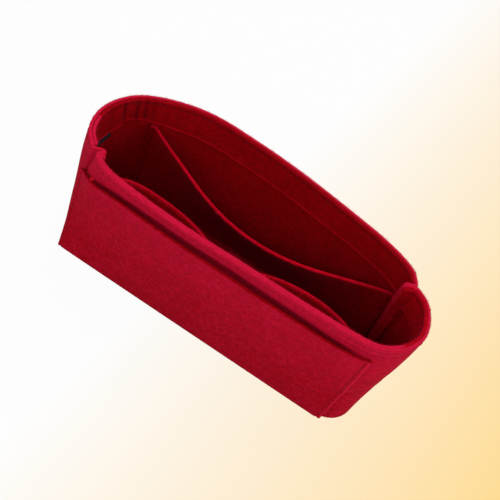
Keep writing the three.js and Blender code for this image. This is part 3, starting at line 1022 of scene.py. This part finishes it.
def makeTack(layer):
    size = {"radius": tack["radius"] * mm, "depth": tack["length"] * mm}
    bpy.ops.mesh.primitive_cylinder_add(vertices=14, **size)
    piece = bpy.context.object
    piece.name = piece.data.name = "slipPocketTack"
    editTurned()
    bpy.ops.mesh.bevel(offset=tack["bevel"] * mm, segments=3, affect="EDGES")
    bpy.ops.object.mode_set(mode="OBJECT")
    column = int(np.argmin(abs(faceOf(layer, -1)[-1, :, 0] - tack["x"])))
    top, inward = Vector(layer["middle"][-1, column]), Vector(layer["normals"][-4, column])
    along = (inward * 0.9 + Vector((0.45, 0, 0.25))).normalized()
    up = (Vector((0, 0, 1)) - along * along.z).normalized()
    turn = Matrix((along, up.cross(along), up)).transposed().to_4x4()
    place = top + inward * tack["inward"] + Vector((*origin[:2], tack["raise"]))
    piece.data.transform(Matrix.Translation(place * mm) @ turn)
    finish(piece, None, "outer_felt", tackThread)


makeTack(layers["slip"])
print("slip pocket sewn")

# Base
base = {
    "lip": 7.2, "lipSteps": 6, "fillet": 1.6, "filletSteps": 5, "steps": 320,
    "rings": (0.06, 0.2, 0.4, 0.6, 0.8),  # across the floor, towards its middle
    "narrowing": 0.35, "edge": 0.45, "flat": (216.0, 74.5),
    "besidePocket": (0.6, 2.4),  # where it goes back to the wall beyond a pocket's end
}


# The base lies inside the walls and inside the pockets, where there are any
def baseOutline(z, extra):
    room = (tub["allowance"] + thick) / lineLength(baseLine)
    at = np.linspace(room, 1 - room, base["steps"])
    start, end = pockets["seamInset"] - halfBase, halfBase - pockets["endInset"]
    near, far = base["besidePocket"]
    outline = []
    for panel in ("front", "back"):
        line = wallLine(panel, z, fineShares)
        point = readLine(at, fineShares, line)
        normal = readLine(at, fineShares, leftNormals(line))
        along = point[:, 0] if panel == "front" else -point[:, 0]
        inPocket = fade(along, start - far, start - near)
        inPocket *= 1 - fade(along, end + near, end + far)
        inset = onWall + (thick + gap) * inPocket
        outline.append(point + normal * (inset + extra)[:, None])
    return np.vstack(outline)


def makeBase():
    half, fillet = thick / 2, base["fillet"]
    heights = np.linspace(base["lip"], half + fillet, base["lipSteps"])
    rings = [lift(baseOutline(z, half), z) for z in heights]
    for turn in np.linspace(0, math.pi / 2, base["filletSteps"])[1:]:
        z = half + fillet * (1 - math.sin(turn))
        rings.append(lift(baseOutline(z, half + fillet * (1 - math.cos(turn))), z))
    lowest = rings[-1]
    rings += [lowest * (1 - share * base["narrowing"], 1 - share, 1) for share in base["rings"]]
    index = np.arange(len(rings) * len(lowest)).reshape(len(rings), -1)
    after = np.roll(index, -1, axis=1)
    faces = np.stack((index[:-1], index[1:], after[1:], after[:-1]), -1).reshape(-1, 4).tolist()
    faces.append(index[-1].tolist())
    piece = shapedMesh("baseFelt", np.vstack(rings), faces)
    applyModifier(piece, "SOLIDIFY", thickness=thick * mm, offset=0.0, use_even_offset=False)
    rounding = {"limit_method": "ANGLE", "angle_limit": math.radians(50), "profile": 0.5}
    applyModifier(piece, "BEVEL", width=base["edge"] * mm, segments=3, **rounding)
    sheet = {"flat": base["flat"], "on": "front_wall", "held": "laid"}
    finish(piece, "base_panel", "outer_felt", outerFelt, **sheet)


makeBase()
print("base made")

# Woven label
label = {
    "length": 16.0, "width": 7.2, "top": 68.6, "bottom": 60.2, "hangsFrom": 66.0,
    "lean": 2.4, "inset": 2.7, "thickness": 0.7, "edge": 0.2, "fromSeam": 27.0,
    "rise": 2.2,  # the right end sits higher, as the hem does
    "flat": (16.0, 10.0), "area": 0.000132,
}


def makeLabel():
    rows, edge, hanging = [], label["edge"], label["hangsFrom"] - label["bottom"]
    for down in edgeSteps(0, 1, 14, edge / label["width"])[::-1]:
        row = []
        for share in edgeSteps(0, 1, 24, edge / label["length"]):
            z = label["top"] + (label["bottom"] - label["top"] + label["rise"] * share**2) * down
            line = wallLine("back", z, fineShares)
            free = max(label["hangsFrom"] - z, 0) / hanging
            inner = offsetLine(line, label["inset"] + label["lean"] * free**0.8)
            at = 1 - (label["fromSeam"] + label["length"] * share) / lineLength(line)
            row.append([*readLine(at, fineShares, inner), z])
        rows.append(row)
    grid = np.array(rows)[:, ::-1]
    piece = makeShell("labelStrip", grid, label["thickness"], (edge, edge), grain=0.02)[0]
    weave = Finish("wovenLabel")
    colour = weave.mix(weave.bands(900.0), (0.004, 0.004, 0.005), (0.013, 0.013, 0.015))
    weave.set(Base_Color=colour, Roughness=0.8, Specular_IOR_Level=0.15)
    sheet = {"flat": label["flat"], "area": label["area"], "on": "back_rim_facing"}
    finish(piece, "label_tab", "woven_label", weave.material, held="hung", **sheet)


makeLabel()
print("label made")

# Floor, light and camera
stage = {
    "floor": (0.62, 0.60, 0.56),
    "paleFrom": (-0.019, 0.079),  # where the paper starts to turn cream, and where it is cream
    "creamAt": (0.217, 0.050),
    "cream": (1.0, 0.715, 0.28),
    "creamPower": 0.95,
    "shine": 0.95,  # the rest is the paper, which keeps the shadow
    "world": 0.46,
    "lampsAimAt": (0, 0, 0.05),
    "lamps": (
        ("keyLamp", (-0.42, -0.72, 0.5), 0.6, 1.75),
        ("rightLamp", (0.85, -0.15, 0.35), 0.5, 3.2),
        ("fillLamp", (0.05, -0.5, 0.7), 0.3, 1.7),
        ("topLamp", (0.1, 0.1, 0.95), 0.7, 1.5),
        ("backLamp", (-0.2, 0.6, 0.75), 0.6, 3.5),
    ),
}


def addFloor():
    bpy.ops.mesh.primitive_plane_add(size=6, location=(0, 0, -0.0002))
    floor = bpy.context.object
    floor.name = "floor"
    paper = Finish("palePaper")
    rays = [paper.add("ShaderNodeLightPath", output=output) for output in (0, 3, 6)]
    eye = (rays[0] + rays[1] + rays[2]).clamp()  # camera, glossy and transmission rays
    start, end = Vector(stage["paleFrom"]), Vector(stage["creamAt"])
    step = (end - start) / (end - start).length_squared
    here = paper.add("ShaderNodeTexCoord", output=3)
    dot = {"operation": "DOT_PRODUCT"}
    along = paper.add("ShaderNodeVectorMath", dot, output=1, n0=here, n1=(step.x, step.y, 0))
    cream = (along - start.dot(step)).clamp(0, 1.2).math("POWER", stage["creamPower"])
    tone = paper.mix(cream, (1, 1, 1), stage["cream"])
    paper.set(Base_Color=stage["floor"], Roughness=0.9, Specular_IOR_Level=0.1)
    shine = paper.add("ShaderNodeEmission", Color=tone, Strength=1.0)
    plain = Wire(paper.tree, paper.shader.outputs[0])
    blend = paper.add("ShaderNodeMixShader", n0=eye * stage["shine"], n1=plain, n2=shine)
    paper.tree.links.new(blend.socket, paper.tree.nodes["Material Output"].inputs["Surface"])
    floor.data.materials.append(paper.material)


def addWorld():
    world = bpy.context.scene.world = bpy.data.worlds.new("studio")
    world.use_nodes = True
    tree = world.node_tree
    feed(tree, tree.nodes["Background"], Color=(1, 1, 1), Strength=stage["world"])


def addLamp(name, place, size, power):
    data = bpy.data.lights.new(name, "AREA")
    data.size, data.energy = size, power
    lamp = addObject(name, data)
    lamp.location = place
    toObject = Vector(stage["lampsAimAt"]) - Vector(place)
    lamp.rotation_euler = toObject.to_track_quat("-Z", "Y").to_euler()


view = {
    "elevation": 51.0, "azimuth": 4.305, "roll": 30.15, "place": (28.16, -341.11, 480.0),
    "focal": 950.87, "picture": 500,  # in pixels
    "sensor": 36,
}


def addCamera():
    data = bpy.data.cameras.new("photoCamera")
    data.sensor_width = view["sensor"]
    data.lens = view["focal"] / view["picture"] * view["sensor"]
    camera = addObject("photoCamera", data)
    e, a, roll = (math.radians(view[k]) for k in ("elevation", "azimuth", "roll"))
    back = Vector((math.sin(a) * math.cos(e), -math.cos(a) * math.cos(e), math.sin(e)))
    right = Vector((math.cos(a), math.sin(a), 0))
    up = back.cross(right)
    turnedRight = right * math.cos(roll) + up * math.sin(roll)
    turnedUp = up * math.cos(roll) - right * math.sin(roll)
    turn = Matrix((turnedRight, turnedUp, back)).transposed()
    camera.matrix_world = Matrix.Translation(Vector(view["place"]) * mm) @ turn.to_4x4()
    bpy.context.scene.camera = camera


addFloor()
addWorld()
for lamp in stage["lamps"]:
    addLamp(*lamp)
addCamera()
bpy.context.scene.view_settings.view_transform = "Standard"
print("stage set")

# Loose fibres that stand out along the cut edges
fibres = {
    "spacing": 0.2, "length": (0.5, 1.9), "radius": 0.035, "seed": 7,
    "outward": (-0.2, 1.0), "lean": 1.1, "upward": (-0.1, 0.9), "curl": 0.28,
    "scatter": 0.12, "rooted": 0.12, "droop": 0.25, "thinning": 0.6,
    "stops": (0, 0.35, 0.7, 1.0),
}


def addFibres(name, line, outward, seed):
    rng = np.random.default_rng(fibres["seed"] + seed)
    curve = bpy.data.curves.new(name, "CURVE")
    curve.dimensions, curve.bevel_resolution, curve.use_fill_caps = "3D", 0, True
    curve.bevel_depth = fibres["radius"] * mm
    run = runOf(line)
    for at in rng.uniform(0, run[-1], int(run[-1] / fibres["spacing"])):
        along = readLine(at + 0.5, run, line) - readLine(at - 0.5, run, line)
        length = rng.uniform(*fibres["length"])
        way = readLine(at, run, outward) * rng.uniform(*fibres["outward"])
        way = way + along * rng.normal(0, fibres["lean"])
        way[2] += rng.uniform(*fibres["upward"])
        way *= length / np.linalg.norm(way)
        curl = rng.normal(0, fibres["curl"], 3) * length
        root = readLine(at, run, line) + rng.normal(0, fibres["scatter"], 3)
        start = root - way * fibres["rooted"]
        spline = curve.splines.new("POLY")
        spline.points.add(len(fibres["stops"]) - 1)
        for point, share in zip(spline.points, fibres["stops"]):
            spot = start + way * share + curl * share * (1 - share) * 2
            spot[2] -= fibres["droop"] * length * share**2
            point.co = (*((spot + origin) * mm), 1)
            point.radius = 1.0 - fibres["thinning"] * share
    only(addObject(name, curve))
    bpy.ops.object.convert(target="MESH")
    finish(bpy.context.object, None, "outer_felt", outerFelt)


fibreSides = {
    "frontWall": -1, "backWall": -1, "frontFacing": 1, "backFacing": 1, "slip": -1,
    "frontPocket": 1, "backPocket": -1,
}
for seed, (name, side) in enumerate(fibreSides.items()):
    edgeLine = faceOf(layers[name], side)[-3, 4:-4]
    addFibres(name + "Fibres", edgeLine, layers[name]["normals"][-3, 4:-4] * side, seed)
print("fibres added")

print("scene ready")
